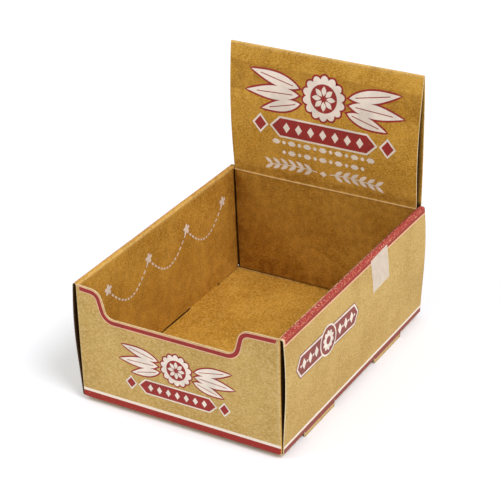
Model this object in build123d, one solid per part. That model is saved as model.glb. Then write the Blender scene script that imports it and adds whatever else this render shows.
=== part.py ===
from build123d import *
from math import radians, tan
import os

# Folded display box: one die-cut sheet of kraft board, folded up without glue, and a cut piece of
# clear tape. Each side wall is rolled over into a hollow double wall whose lining locks into the floor.
# The back runs up into a two-ply header and comes down again inside the tray as the back's lining.
# Frame: +Z up, the open front looks along -Y, the middle of the tray on the Z axis, the table at zero.

# Board
board = 0.6                    # thickness of the sheet
fold_radius = 0.4              # inside radius of a creased fold
ply_gap = 0.25                 # room between plies that lie side by side
overrun = 3.0                  # how far cutting shapes run past what they cut

# Tray
tray_width = 120.0             # between the outer faces at the side creases
tray_depth = 160.0             # between the outer faces of front and back
wall_height = 66.6             # underside of the floor to the top of the side walls
floor_lift = 2.4               # underside of the floor above the table, the drop of the tongues

# Rolled side walls
wall_lean = 1.2                # how far the head of an outer wall stands out past its foot
wall_bulge = 3.0               # how far the corner of its bow stands out past its foot
bulge_height_share = 0.66      # height of that corner, of the wall's height
bow_share = 0.8                # part of the shorter run beside a bow that its curve takes up
lining_tilt = 0.9              # how much further in the lining's foot stands than its head
lining_lift = 0.7              # gap under the lining, above the floor
lining_rear_gap = 0.6          # between the lining's rear edge and the back's lining

# Locks: tongues left on the outer walls by the slots, and tabs of the lining in those slots
tongue_length = 32.0
tongue_spacing = 78.8          # between the middles of a wall's two tongues
tongue_offset = -1.6           # middle of the two, from the middle of the tray
slot_end_gap = 1.4             # open end of a slot past the tongue
slot_clearance = 0.4           # slot beside the tab
tab_play = 1.0                 # tab's root shorter than the tongue, at each end
tab_bevel = 3.0                # how much the tab's tip draws in, at each end
tab_drop = 1.2                 # tab's reach below the floor

# Front panel and its dipped opening
front_height = 67.2            # at the corners, above the underside of the floor
ear_fall = 1.0                 # the ears' fall from the corner to the dip
sill_height = 51.5             # bottom of the dip, above the underside of the floor
dip_width = 77.6               # between the middles of its two sloping sides
dip_offset = -3.8              # middle of the dip, from the middle of the tray
dip_slope_run = 3.8            # how far each side of the dip runs in while it drops
ear_radius = 7.0
sill_radius = 5.0

# Side flaps of front and back, tucked into the hollow walls
flap_length = 46.0
flap_taper = 5.0               # how much a flap draws in at its end, above and below
flap_clearance = 0.9           # flap to floor and to the roll above it

# Header
header_height = 75.8           # above the side walls
header_width = 117.6
header_lean = 1.4              # how far the top leans back past the back panel
header_front_bulge = 4.2       # how far the corner of the front ply's bow stands forward
header_rear_bulge = 2.0        # how far the corner of the rear ply's bow stands back
header_base_depth = 3.2        # front face to rear face at the base crease
header_bow_share = 0.5         # height of the bows' corners, of the header's height
top_fold_gap = 0.3             # room between the plies under the top fold
top_fold_share = 0.94          # fold's radius, of half its depth
crease_drop = 1.2              # base crease below the top of the side walls
back_lining_gap = 0.5          # between the back's lining and the side linings
back_lining_step = 0.8         # how much further back the foot of the back's lining stands
split_share = 0.06             # length of front ply that is drawn with the top fold

# Tape
tape_width = 19.2
tape_length = 18.8
tape_thickness = 0.08
tape_bond = 0.03               # layer of adhesive under the film
tape_from_rear = 56.8          # middle of the tape from the rear of the tray
tape_from_top = 11.1           # middle of the tape below the top of the wall
tape_skew = 3.0                # degrees

# Places that follow from the sizes
half_width = tray_width / 2
half_depth = tray_depth / 2
fold_outer = fold_radius + board
floor_top = floor_lift + board
wall_top = floor_lift + wall_height
front_top = floor_lift + front_height
header_top = wall_top + header_height
wall_end = half_depth - board - ply_gap
flap_face = half_width - board - ply_gap
panel_half = flap_face - fold_outer
lining_head = flap_face - 2 * board - ply_gap
lining_foot = lining_head - lining_tilt
lining_bottom = floor_top + lining_lift
crease_height = wall_top - crease_drop
crease_face = half_depth - header_base_depth
side_foot = (half_width, floor_lift)
side_knee = (half_width + wall_bulge, floor_lift + bulge_height_share * wall_height)
side_head = (half_width + wall_lean, wall_top)


def along(start, end, share):
    """Point at a share of the way from start to end."""
    return tuple(a + share * (b - a) for a, b in zip(start, end))


def at_height(low, high, height):
    """Point at a height on the line through two points of an upright section."""
    return along(low, high, (height - low[1]) / (high[1] - low[1]))


def bow_radius(before, knee, after):
    """Radius that rounds a knee over most of the shorter run beside it."""
    run_in = Vector(knee) - Vector(before)
    run_out = Vector(after) - Vector(knee)
    reach = bow_share * min(run_in.length, run_out.length)
    return reach / tan(radians(run_in.get_angle(run_out) / 2))


def parallel(points, radii, shift):
    """Line that follows the points at a distance to their left, with folds rounded about the same axes."""
    runs = [(Vector(end) - Vector(start)).normalized() for start, end in zip(points, points[1:])]
    lefts = [run.rotate(Axis.Z, 90) for run in runs]
    corners = []
    for point, left_in, left_out in zip(points, lefts[:1] + lefts, lefts + lefts[-1:]):
        corners.append(Vector(point) + (left_in + left_out) * (shift / (1 + left_in.dot(left_out))))
    if not radii:
        return Line(*corners)
    turns = [run_in.cross(run_out).Z for run_in, run_out in zip(runs, runs[1:])]
    bends = [radius - shift if turn > 0 else radius + shift for radius, turn in zip(radii, turns)]
    return FilletPolyline(*corners, radius=bends)


def band(points, radii, near, far):
    """Flat face between two parallels of the line through the points."""
    sides = [parallel(points, radii, shift) for shift in (near, far)]
    ends = [Line(sides[0] @ end, sides[1] @ end) for end in (0, 1)]
    return make_face([edge for line in sides + ends for edge in line.edges()])


def ribbon(points, radii):
    """Section of the sheet: its printed face follows the points and the board lies to their left."""
    return band(points, radii, 0, board)


def across(section, half):
    """Solid of a section drawn in depth and height, out to half on each side."""
    return extrude(Plane.YZ * section, half, both=True)


def lengthwise(section, half):
    """Solid of a section drawn in width and height, out to half at front and rear."""
    return extrude(Plane.XZ * section, half, both=True)


def outline(points):
    """Flat face with the given corners."""
    return make_face(Polyline(*points, close=True).edges())


def both_sides(shape):
    """The shape and its mirror image on the other side of the tray."""
    return shape + mirror(shape, Plane.YZ)


def trimmed(solid, half_outline):
    """Solid cut to an outline seen from the front, given by its right half from the bottom up."""
    left_half = [(-x, z) for x, z in reversed(half_outline)]
    return solid & lengthwise(outline(half_outline + left_half), tray_depth)


def side_rolls():
    """Lining, spine and outer wall of both sides with the floor between them, as one section."""
    right = [side_foot, side_knee, side_head, (lining_head, wall_top), (lining_foot, lining_bottom)]
    left = [(-x, z) for x, z in reversed(right)]
    bow = bow_radius(side_foot, side_knee, side_head)
    radii = [fold_outer, fold_outer, bow, fold_outer]
    rolls = lengthwise(ribbon(left + right, radii + radii[::-1]), wall_end)
    # Under their rolled heads the linings stop short of the back's lining
    lining_end = crease_face - lining_rear_gap
    corner = (lining_foot - board, lining_end, floor_top)
    trim_size = (lining_head + 2 * board - corner[0], half_depth - lining_end, crease_height - floor_top)
    trim = Pos(*corner) * Box(*trim_size, align=(Align.MIN, Align.MIN, Align.MIN))
    return rolls - both_sides(trim)


def locks(rolls):
    """Cut the slots along both side creases and add the walls' tongues and the linings' tabs."""
    slot_in = lining_foot - slot_clearance
    slot_length = tongue_length + 2 * slot_end_gap
    slot_size = (half_width + overrun - slot_in, slot_length, fold_outer + overrun)
    slot = Box(*slot_size, align=(Align.MIN, Align.CENTER, Align.MAX))
    slot = Pos(slot_in, 0, floor_lift + fold_outer) * slot

    tongue_foot = at_height(side_foot, side_knee, -overrun)
    tongue_root = at_height(side_foot, side_knee, floor_top + fold_outer)
    tongue = lengthwise(ribbon([tongue_foot, tongue_root], []), tongue_length / 2)
    table_size = (tray_width + overrun, tray_depth, 2 * overrun)
    tongue -= Box(*table_size, align=(Align.CENTER, Align.CENTER, Align.MAX))

    lining = ((lining_foot, lining_bottom), (lining_head, wall_top))
    tab_root = at_height(*lining, lining_bottom + board)
    tab_tip = at_height(*lining, floor_lift - tab_drop)
    root_half = tongue_length / 2 - tab_play
    tip_half = root_half - tab_bevel
    tab_shape = [(-root_half, tab_root[1]), (root_half, tab_root[1]), (root_half, floor_top)]
    tab_shape += [(tip_half, tab_tip[1]), (-tip_half, tab_tip[1]), (-root_half, floor_top)]
    tab = lengthwise(ribbon([tab_root, tab_tip], []), root_half) & across(outline(tab_shape), tray_width)

    for middle in (tongue_offset - tongue_spacing / 2, tongue_offset + tongue_spacing / 2):
        place = Pos(0, middle, 0)
        rolls -= both_sides(place * slot)
        rolls += both_sides(place * tongue)
        rolls += both_sides(place * tab)
    return rolls


def flapped_panel(height):
    """Front panel with its two side flaps, folded back into the hollow side walls, up to a height."""
    flap_end = flap_length - half_depth
    plan = [(-flap_face, flap_end), (-flap_face, -half_depth)]
    plan += [(flap_face, -half_depth), (flap_face, flap_end)]
    channel = extrude(ribbon(plan, [fold_outer, fold_outer]), height)
    panel_back = board - half_depth
    low = floor_top + flap_clearance
    high = wall_top - board - flap_clearance
    shape = [(-half_depth - overrun, floor_lift + fold_outer), (panel_back, floor_lift + fold_outer)]
    shape += [(panel_back, low), (flap_end, low + flap_taper), (flap_end, high - flap_taper)]
    shape += [(panel_back, high), (panel_back, height), (-half_depth - overrun, height)]
    return channel & across(outline(shape), tray_width)


def dip():
    """Cutting shape of the front's dipped opening, with an S-curve down from each ear to the sill."""
    ear_out = front_top
    ear_in = front_top - ear_fall
    sill = floor_lift + sill_height
    reach = half_width + overrun
    left = dip_offset - dip_width / 2
    right = dip_offset + dip_width / 2
    half_run = dip_slope_run / 2
    edge = [(-reach, ear_out), (left - half_run, ear_in), (left + half_run, sill)]
    edge += [(right - half_run, sill), (right + half_run, ear_in), (reach, ear_out)]
    line = FilletPolyline(*edge, radius=[ear_radius, sill_radius, sill_radius, ear_radius])
    lid = Polyline(edge[-1], (reach, ear_out + overrun), (-reach, ear_out + overrun), edge[0])
    opening = extrude(Plane.XZ * make_face(line.edges() + lid.edges()), overrun + board, both=True)
    return Pos(0, -half_depth - overrun, 0) * opening


def back_and_header():
    """Front, floor, back, header and the back's lining: one strip of the sheet, seen from the side."""
    base = (half_depth, wall_top)
    top_rear = (half_depth + header_lean, header_top)
    fold_depth = 2 * board + top_fold_gap
    top_front = (top_rear[0] - fold_depth, header_top)
    crease = (crease_face, crease_height)
    rear_mid = along(base, top_rear, header_bow_share)
    rear_knee = (rear_mid[0] + header_rear_bulge, rear_mid[1])
    front_mid = along(crease, top_front, header_bow_share)
    front_knee = (front_mid[0] - header_front_bulge, front_mid[1])
    foot = (crease_face + back_lining_step, lining_bottom)
    split = along(top_front, front_knee, split_share)
    fold = top_fold_share * fold_depth / 2

    outer_run = [(-half_depth, front_top), (-half_depth, floor_lift), (half_depth, floor_lift), base]
    outer_run += [rear_knee, top_rear, top_front, split]
    rear_bow = bow_radius(base, rear_knee, top_rear)
    outer_radii = [fold_outer, fold_outer, fold_outer, rear_bow, fold, fold]
    inner_run = [split, front_knee, crease, foot]
    inner_radii = [bow_radius(split, front_knee, crease), fold_outer]

    # Widths: between the flaps' folds below, the header's own above, and between the linings inside
    header_half = header_width / 2
    outer_shape = [(panel_half, floor_lift - overrun), (panel_half, wall_top), (header_half, wall_top)]
    outer_shape += [(header_half, header_top + overrun)]
    inner_shape = [(lining_foot - back_lining_gap, foot[1] - overrun)]
    inner_shape += [(lining_head - back_lining_gap, crease_height), (header_half, split[1])]
    inner_shape += [(header_half, split[1] + overrun)]
    outer_ply = trimmed(across(ribbon(outer_run, outer_radii), half_width), outer_shape)
    return outer_ply + trimmed(across(ribbon(inner_run, inner_radii), half_width), inner_shape)


def folded_board():
    """The whole folded sheet as one solid."""
    sheet = locks(side_rolls()) + back_and_header()
    sheet += flapped_panel(front_top)
    sheet += mirror(flapped_panel(wall_top), Plane.XZ)
    return sheet - dip()


def tape():
    """Piece of film on the right wall, following the wall's bow."""
    wall_line = [side_foot, side_knee, side_head]
    film = band(wall_line, [bow_radius(*wall_line)], -tape_bond, -tape_bond - tape_thickness)
    place = Pos(half_width, half_depth - tape_from_rear, wall_top - tape_from_top) * Rot(tape_skew, 0, 0)
    return lengthwise(film, half_depth) & place * Box(tray_width, tape_width, tape_length)


os.makedirs("parts", exist_ok=True)
export_step(folded_board(), "parts/folded_board.step")
export_step(tape(), "parts/tape.step")
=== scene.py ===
"""Looks of the folded display box: kraft board, flexographic print, a piece of clear tape, and the studio."""

import logging
from collections.abc import Iterable, Sequence
from dataclasses import dataclass, field
from enum import Enum
from math import ceil, cos, degrees, exp, hypot, pi, radians, sin, tau

import bmesh
import bpy
from mathutils import Matrix, Vector, noise
from mathutils.bvhtree import BVHTree


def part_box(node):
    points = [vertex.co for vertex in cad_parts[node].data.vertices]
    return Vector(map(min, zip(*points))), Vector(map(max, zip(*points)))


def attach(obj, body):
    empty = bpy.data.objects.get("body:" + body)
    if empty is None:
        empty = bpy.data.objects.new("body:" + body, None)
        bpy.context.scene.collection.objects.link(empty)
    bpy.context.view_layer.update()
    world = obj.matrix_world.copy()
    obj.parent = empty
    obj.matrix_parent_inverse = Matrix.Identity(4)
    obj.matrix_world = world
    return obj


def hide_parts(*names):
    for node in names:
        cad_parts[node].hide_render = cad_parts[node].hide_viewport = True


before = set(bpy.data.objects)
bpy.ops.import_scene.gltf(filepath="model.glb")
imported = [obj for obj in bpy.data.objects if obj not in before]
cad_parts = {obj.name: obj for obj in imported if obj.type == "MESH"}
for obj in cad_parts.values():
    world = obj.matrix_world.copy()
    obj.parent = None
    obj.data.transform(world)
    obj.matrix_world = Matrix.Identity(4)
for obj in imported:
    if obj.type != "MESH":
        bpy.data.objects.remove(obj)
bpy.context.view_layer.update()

MM = 0.001                     # the scene is in metres, and the sizes below are in millimetres
WELD_M = 1e-6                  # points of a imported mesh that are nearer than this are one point
CUT_M = 1e-7                   # points that are nearer than this to a cutting plane lie on it
OPEN_M = 1.0                   # room in front of a face that looks at nothing
DISC_STEPS = 48                # straight steps round a disc, a petal, a side of a leaf and a corner
PETAL_STEPS = 12
LEAF_STEPS = 14
CORNER_STEPS = 8
PETAL_POWER = 0.8              # below one makes fuller petals
MITRE_LEAST = 0.5              # keeps the mitre of a sharp corner short
RIGHT, LEFT, REAR = (1, 0, 0), (-1, 0, 0), (0, 1, 0)
SMOOTH = {"interpolation_type": "SMOOTHSTEP"}
log = logging.getLogger("display_box")

Point = tuple[float, float]
Place = tuple[float, float, float]
Colour = tuple[float, float, float, float]
Outline = list[Point]
Tree = bpy.types.NodeTree
Link = bpy.types.NodeSocket | bpy.types.Node
Material = bpy.types.Material
Piece = bpy.types.Object


def linear(colour: str) -> Colour:
    """Turn an sRGB hex colour into linear light.

    Args:
        colour: Six hex digits after a hash sign.

    Returns:
        Red, green and blue in linear light, and full alpha.
    """
    parts = [int(colour[i:i + 2], 16) / 255 for i in (1, 3, 5)]
    light = [c / 12.92 if c <= 0.04045 else ((c + 0.055) / 1.055) ** 2.4 for c in parts]
    return (*light, 1.0)


def add_node(tree: Tree, kind: str, inputs: dict | None = None, **settings: str) -> bpy.types.Node:
    """Add a node to a tree with its settings, values and links.

    Args:
        tree: Node tree of a material or of the world.
        kind: Blender's name of the node's type.
        inputs: Value, socket or node for each input, by name or number. A node gives its first output.
        **settings: Properties of the node itself.

    Returns:
        The new node.
    """
    node = tree.nodes.new(kind)
    for name, value in settings.items():
        setattr(node, name, value)
    for key, value in (inputs or {}).items():
        if isinstance(value, bpy.types.Node):
            value = next(output for output in value.outputs if output.enabled)
        if isinstance(value, bpy.types.NodeSocket):
            tree.links.new(value, node.inputs[key])
        else:
            node.inputs[key].default_value = value
    return node


def new_material(name: str) -> tuple[Material, Tree]:
    """Make an empty node material.

    Args:
        name: Name of the material.

    Returns:
        The material and its node tree.
    """
    material = bpy.data.materials.new(name)
    material.use_nodes = True
    material.node_tree.nodes.clear()
    return material, material.node_tree


def layered(tree: Tree, ground: Link | Colour, layers: Iterable[tuple[Link, Link | Colour]]) -> Link | Colour:
    """Lay tints over a ground, each by its own amount.

    Args:
        tree: Node tree to add to.
        ground: Colour under all the tints.
        layers: Amount and tint of each layer, from the lowest up.

    Returns:
        The colour that shows.
    """
    for amount, tint in layers:
        inputs = {"Factor": amount, "A": ground, "B": tint}
        ground = add_node(tree, "ShaderNodeMix", inputs, data_type="RGBA")
    return ground


def finished(tree: Tree, inputs: dict) -> None:
    """End a finish with its shader and the output.

    Args:
        tree: Node tree of the material.
        inputs: Values and links of the shader.
    """
    shader = add_node(tree, "ShaderNodeBsdfPrincipled", inputs)
    add_node(tree, "ShaderNodeOutputMaterial", {"Surface": shader})


@dataclass(frozen=True)
class Grain:
    """An uneven pattern, by the real size of its grains."""

    size_mm: float
    detail: float = 2.0
    roughness: float = 0.5

    def inputs(self, place: Link) -> dict:
        """Give the inputs of a noise node that draws the pattern."""
        scale = 1 / (self.size_mm * MM)
        return {"Vector": place, "Scale": scale, "Detail": self.detail, "Roughness": self.roughness}


@dataclass(frozen=True)
class Fade:
    """A smooth step from one amount to another while a value goes from low to high."""

    low: float
    high: float
    start: float = 0.0
    end: float = 1.0

    def inputs(self, value: Link) -> dict:
        """Give the inputs of a range node that makes the step."""
        return {"Value": value, "From Min": self.low, "From Max": self.high,
                "To Min": self.start, "To Max": self.end}


@dataclass(frozen=True)
class BoxSizes:
    """Sizes of the folded box that its dress needs, in millimetres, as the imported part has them."""

    half_width: float = 60.0
    half_depth: float = 80.0
    floor_lift: float = 2.4
    wall_top: float = 69.0
    flap_face: float = 59.15
    wall_end: float = 79.15
    wall_head: float = 61.2
    lining_head: float = 57.7
    crease_face: float = 76.8
    crease_height: float = 67.8
    header_top: float = 144.8
    header_half: float = 58.8
    header_lean: float = 1.4
    board: float = 0.6
    front_top: float = 69.6
    ear_fall: float = 1.0
    sill: float = 53.9
    dip_width: float = 77.6
    dip_offset: float = -3.8
    dip_slope_run: float = 3.8
    ear_radius: float = 7.0
    sill_radius: float = 5.0
    tape_skew: float = 3.0

    @property
    def fold(self) -> float:
        """Thickness of the board folded on itself."""
        return self.board + self.board


class Ink(Enum):
    """Colours that the press prints on the board, and one dark red that is painted shade."""

    RED = "#9A2121"
    CREAM = "#F4E7D8"
    CORAL = "#B54037"
    BRICK = "#98302B"
    SHADED_RED = "#66241C"
    # painted shade along the inner edge of the wall heads' band
    ROSE = "#8E4640"
    BLUSH = "#EBBB9A"


@dataclass(frozen=True)
class KraftBoard:
    """Uncoated kraft board off the paper machine: unbleached fibres in a cloudy, matt, warm brown sheet.

    The eye gets soft clouds and flocks from uneven fibre, pale and dark fibres lying mostly across the
    sheet, a few dark specks of bark, pale folds where hands rub them, painted highlights on two creases,
    and painted shade on the linings and in their corners.
    """

    name: str = "kraft_board_uncoated"
    tone: str = "#CF9B3A"
    cloud: str = "#BA8527"
    fibre: str = "#E0B45C"
    bark: str = "#64461A"
    # pale of rubbed folds, also the tint of the painted highlights along two creases
    worn: str = "#FFDC98"
    # tint of the painted shade on the linings and in their corners
    shade_tone: str = "#7A4504"
    roughness: float = 0.84
    ior: float = 1.5
    specular: float = 0.12
    relief_mm: float = 0.05
    relief_strength: float = 0.5
    fibre_stretch: float = 0.6
    clouds: Grain = Grain(26.0, 4.0)
    flocks: Grain = Grain(4.5)
    specks: Grain = Grain(1.0, 1.0)
    fibres: Grain = Grain(0.7, 5.0, 0.65)    # real fibres are a tenth as wide, and are drawn coarser to show
    clouded: Fade = Fade(0.35, 0.65)
    flocked: Fade = Fade(0.38, 0.62, 0.0, 0.14)
    paled: Fade = Fade(0.42, 0.68, 0.0, 0.65)
    specked: Fade = Fade(0.66, 0.74, 0.0, 0.5)
    darkened: Fade = Fade(0.46, 0.3, 0.0, 0.5)
    pale_evenness: Fade = Fade(0.35, 0.6, 0.7, 1.0)
    shade_evenness: Fade = Fade(0.35, 0.65, 0.74, 1.26)

    def fibre_pattern(self, tree: Tree) -> Link:
        """Add the pattern of fibres, drawn out level.

        Args:
            tree: Node tree to add to.

        Returns:
            The pattern, from zero to one.
        """
        place = add_node(tree, "ShaderNodeTexCoord").outputs["Object"]
        stretch = (self.fibre_stretch, self.fibre_stretch, 1.0)
        drawn = add_node(tree, "ShaderNodeMapping", {"Vector": place, "Scale": stretch})
        return add_node(tree, "ShaderNodeTexNoise", self.fibres.inputs(drawn))

    def colour(self, tree: Tree, fibres: Link) -> Link:
        """Add the board's colour: clouds, flocks, fibres, bark, rubbed folds with painted highlights, and
        painted shade.

        Args:
            tree: Node tree to add to.
            fibres: Pattern of fibres.

        Returns:
            The colour.
        """
        place = add_node(tree, "ShaderNodeTexCoord").outputs["Object"]
        clouds, flocks, specks = (add_node(tree, "ShaderNodeTexNoise", grain.inputs(place))
                                  for grain in (self.clouds, self.flocks, self.specks))
        layers = []
        for pattern, fade, tint in ((clouds, self.clouded, self.cloud), (flocks, self.flocked, self.bark),
                                    (fibres, self.paled, self.fibre), (specks, self.specked, self.bark),
                                    (fibres, self.darkened, self.bark)):
            amount = add_node(tree, "ShaderNodeMapRange", fade.inputs(pattern), **SMOOTH)
            layers.append((amount, linear(tint)))
        # the rubbed folds with the painted highlights, then the painted shade
        for mark, pattern, fade, tint in (("rub_and_highlight", fibres, self.pale_evenness, self.worn),
                                          ("painted_shade", flocks, self.shade_evenness, self.shade_tone)):
            whole = add_node(tree, "ShaderNodeAttribute", attribute_name=mark).outputs["Fac"]
            share = add_node(tree, "ShaderNodeMapRange", fade.inputs(pattern), **SMOOTH)
            amount = add_node(tree, "ShaderNodeMath", {0: whole, 1: share}, operation="MULTIPLY")
            layers.append((amount, linear(tint)))
        return layered(tree, linear(self.tone), layers)

    def surface(self, tree: Tree, colour: Link, fibres: Link) -> None:
        """Add the matt, faintly fibrous surface and the output.

        Args:
            tree: Node tree to add to.
            colour: Colour of the surface.
            fibres: Pattern of fibres that gives the relief.
        """
        inputs = {"Height": fibres, "Distance": self.relief_mm * MM, "Strength": self.relief_strength}
        relief = add_node(tree, "ShaderNodeBump", inputs)
        finished(tree, {"Base Color": colour, "Roughness": self.roughness, "IOR": self.ior,
                        "Specular IOR Level": self.specular, "Normal": relief})

    def plain(self) -> Material:
        """Make the finish of the bare board.

        Returns:
            The material.
        """
        material, tree = new_material(self.name)
        fibres = self.fibre_pattern(tree)
        self.surface(tree, self.colour(tree, fibres), fibres)
        return material


# The sheet's warm reverse, which is the inside of the box, made darker and warmer also as painted shade
INNER_BOARD = KraftBoard()
# The printed side: paler, partly as painted light, and pressed smoother, so that it shines a little more
OUTER_BOARD = KraftBoard("kraft_board_flexo_bands", "#C6A35A", "#B8944B", "#DCC086", "#7E5F30", "#E9D6AE",
                         specular=0.35, flocked=Fade(0.38, 0.62, 0.0, 0.08),
                         darkened=Fade(0.46, 0.3, 0.0, 0.2))
# The reverse between the plies, painted dark as shade
PAINTED_SHADE_BOARD = KraftBoard("kraft_board_reverse_painted_shade", "#4C3214", "#3F2810", "#5E421E", "#2A1A0A", "#6A4C24")


@dataclass(frozen=True)
class PaintedShadeReverse:
    """Reverse of the board between plies, painted dark as shade, so the gaps look nearly black.

    At the header's open ends a lighter strip of plain board is painted as the light that comes in from the
    sides.
    """

    sizes: BoxSizes
    shade_board: KraftBoard
    lit_board: KraftBoard
    reach_mm: float = 3.0

    def build(self) -> Material:
        """Make the finish.

        Returns:
            The material.
        """
        s = self.sizes
        material, tree = new_material(self.shade_board.name)
        fibres = self.shade_board.fibre_pattern(tree)
        place = add_node(tree, "ShaderNodeTexCoord").outputs["Object"]
        axes = add_node(tree, "ShaderNodeSeparateXYZ", {"Vector": place}).outputs
        aside = add_node(tree, "ShaderNodeMath", {0: axes["X"]}, operation="ABSOLUTE")
        outward = Fade((s.header_half - self.reach_mm) * MM, s.header_half * MM)
        upward = Fade(s.wall_top * MM, (s.wall_top + self.reach_mm) * MM)
        end = add_node(tree, "ShaderNodeMapRange", outward.inputs(aside), **SMOOTH)
        above = add_node(tree, "ShaderNodeMapRange", upward.inputs(axes["Z"]), **SMOOTH)
        share = add_node(tree, "ShaderNodeMath", {0: end, 1: above}, operation="MULTIPLY")
        colour = layered(tree, self.shade_board.colour(tree, fibres), [(share, self.lit_board.colour(tree, fibres))])
        self.shade_board.surface(tree, colour, fibres)
        return material


@dataclass(frozen=True)
class PrintedBoard:
    """Kraft board with flexographic bands: thin ink on open fibres, so flecks of board show through.

    A red band with a pale line above it runs round the foot of the box, and another red band, rubbed
    by hands and by other boxes, along the head of the side walls.
    """

    sizes: BoxSizes
    stock: KraftBoard
    foot_red_mm: float = 4.15
    flank_red_mm: float = 3.6
    foot_line_mm: float = 1.6
    head_red_mm: float = 3.1
    head_line_mm: float = 0.8
    head_end_mm: float = 1.1
    head_rim_mm: float = 1.0
    soft_mm: float = 0.12
    ragged_mm: float = 0.3
    mottle: Grain = Grain(1.6, 3.0)
    scuffs: Grain = Grain(0.9)
    pinholed: Fade = Fade(0.62, 0.74, 0.97, 0.55)
    thinned: Fade = Fade(0.6, 0.74, 0.97, 0.6)
    rubbed_off: Fade = Fade(0.1, 0.9, 1.0, 0.86)
    patched: Fade = Fade(0.44, 0.56, 0.8, 0.0)
    scuffed: Fade = Fade(0.56, 0.7, 0.0, 0.75)
    rim_worn: Fade = Fade(0.42, 0.52, 0.0, 0.9)

    def between(self, tree: Tree, value: Link, low: float, high: float) -> Link:
        """Add a mask with soft edges.

        Args:
            tree: Node tree to add to.
            value: Place along an axis, in metres.
            low: Lower edge, in millimetres.
            high: Upper edge, in millimetres.

        Returns:
            A mask that is one between the edges.
        """
        soft, low, high = self.soft_mm * MM, low * MM, high * MM
        edges = (Fade(low - soft, low + soft), Fade(high - soft, high + soft, 1.0, 0.0))
        above, below = (add_node(tree, "ShaderNodeMapRange", edge.inputs(value), **SMOOTH) for edge in edges)
        return add_node(tree, "ShaderNodeMath", {0: above, 1: below}, operation="MULTIPLY")

    def bands(self, tree: Tree) -> list[tuple[Ink, tuple[Link, ...]]]:
        """Add the masks of all the bands.

        Args:
            tree: Node tree to add to.

        Returns:
            Ink of each band, from the lowest layer up, and the masks that it is cut by.
        """
        s = self.sizes
        place = add_node(tree, "ShaderNodeTexCoord").outputs["Object"]
        axes = add_node(tree, "ShaderNodeSeparateXYZ", {"Vector": place}).outputs
        aside = add_node(tree, "ShaderNodeMath", {0: axes["X"]}, operation="ABSOLUTE")
        rub_and_highlight = add_node(tree, "ShaderNodeAttribute", attribute_name="rub_and_highlight").outputs["Fac"]
        mottle, scuffs = (add_node(tree, "ShaderNodeTexNoise", grain.inputs(place))
                          for grain in (self.mottle, self.scuffs))
        to_rear = Fade(-s.half_depth * MM, s.half_depth * MM, 1.0, 0.0)
        shares = ((mottle, self.pinholed), (mottle, self.thinned), (rub_and_highlight, self.rubbed_off),
                  (mottle, self.patched), (scuffs, self.scuffed), (mottle, self.rim_worn),
                  (axes["Y"], to_rear))
        solid, thin, kept, patchy, scuffed, worn, nearer = (
            add_node(tree, "ShaderNodeMapRange", fade.inputs(value), **SMOOTH) for value, fade in shares)
        inputs = {0: mottle, 1: self.ragged_mm * MM, 2: axes["Z"]}
        height = add_node(tree, "ShaderNodeMath", inputs, operation="MULTIPLY_ADD")
        lift = self.ragged_mm / 2
        foot = s.floor_lift + lift
        head = s.wall_top - self.head_red_mm + lift
        foot_top, flank_top, line = foot + self.foot_red_mm, foot + self.flank_red_mm, self.foot_line_mm
        head_top, turn, far = s.wall_top + self.head_red_mm, s.wall_top - s.fold, s.half_width + s.half_width
        corner, rim_edge = s.flap_face + s.board, s.lining_head + self.head_rim_mm
        head_start = self.head_end_mm - s.wall_end
        rim = self.between(tree, aside, s.lining_head - s.board, rim_edge)
        side = self.between(tree, aside, rim_edge, far)
        flank = self.between(tree, aside, corner, far)
        ends = self.between(tree, aside, -far, corner)
        wall = self.between(tree, axes["Y"], head_start, s.wall_end)
        front_end = self.between(tree, axes["Y"], -s.wall_end - s.board, head_start)
        spine = self.between(tree, height, turn, head_top)
        return [(Ink.RED, (self.between(tree, height, foot, foot_top), ends, solid)),
                (Ink.CREAM, (self.between(tree, height, foot_top, foot_top + line), ends, solid)),
                (Ink.ROSE, (self.between(tree, height, foot, flank_top), flank, solid)),
                (Ink.CREAM, (self.between(tree, height, flank_top, flank_top + line), flank, solid)),
                (Ink.CORAL, (spine, side, wall, thin, kept)),
                (Ink.BRICK, (spine, side, wall, patchy)),
                (Ink.BRICK, (self.between(tree, height, head, turn), flank, wall, thin)),
                (Ink.BLUSH, (spine, side, wall, scuffed)),
                # painted shade: the head band's inner edge in dark red
                (Ink.SHADED_RED, (spine, rim, wall)),
                (Ink.BLUSH, (spine, rim, wall, worn, nearer)),
                (Ink.BLUSH, (self.between(tree, height, head, head_top), flank, front_end, thin)),
                (Ink.BLUSH, (self.between(tree, height, head - self.head_line_mm, head), flank, thin))]

    def build(self) -> Material:
        """Make the finish.

        Returns:
            The material.
        """
        material, tree = new_material(self.stock.name)
        fibres = self.stock.fibre_pattern(tree)
        layers = []
        for ink, (amount, *masks) in self.bands(tree):
            for mask in masks:
                inputs = {0: amount, 1: mask}
                amount = add_node(tree, "ShaderNodeMath", inputs, operation="MULTIPLY")
            layers.append((amount, linear(ink.value)))
        self.stock.surface(tree, layered(tree, self.stock.colour(tree, fibres), layers), fibres)
        return material


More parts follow.
